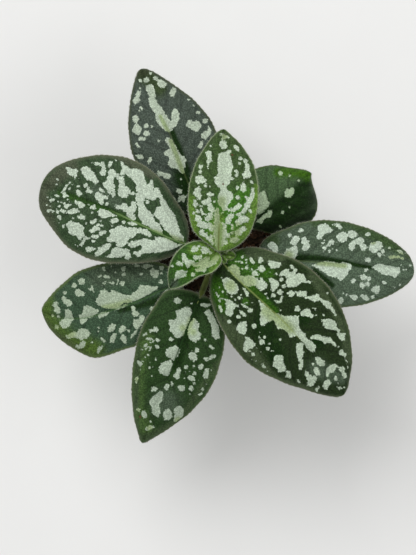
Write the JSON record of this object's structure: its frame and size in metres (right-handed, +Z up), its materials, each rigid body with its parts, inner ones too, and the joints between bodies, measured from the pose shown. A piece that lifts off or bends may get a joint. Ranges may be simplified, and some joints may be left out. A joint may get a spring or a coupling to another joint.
{
  "type": "potted michaelmoelleria",
  "caption": "Small potted gesneriad house plant: a flat rosette of dark green leaves with ragged pale blotches on a short stem, in a plain black nursery pot.",
  "frame": {"origin": "centre of the pot's flat underside", "axes": "+Z up, +Y towards the back of the rosette, +X to its right"},
  "size_m": [0.1414, 0.1424, 0.0924],
  "materials": {
    "black_plastic": "satin black",
    "potting_mix": "crumbly, matt",
    "stem_skin": "finely hairy",
    "leaf": "velvety, with pale blotches",
    "young_leaf": "velvety, with pale blotches"
  },
  "bodies": {
    "root": {"pot": "black_plastic", "soil": "potting_mix", "stem": "stem_skin", "leaf_back_left": "leaf", "leaf_left": "leaf", "leaf_front_left": "leaf", "leaf_front": "leaf", "leaf_front_right": "leaf", "leaf_right": "leaf", "leaf_back_right": "leaf", "leaf_young_back": "young_leaf", "leaf_young_front": "young_leaf", "leaf_young_right": "young_leaf"}
  },
  "joints": []
}
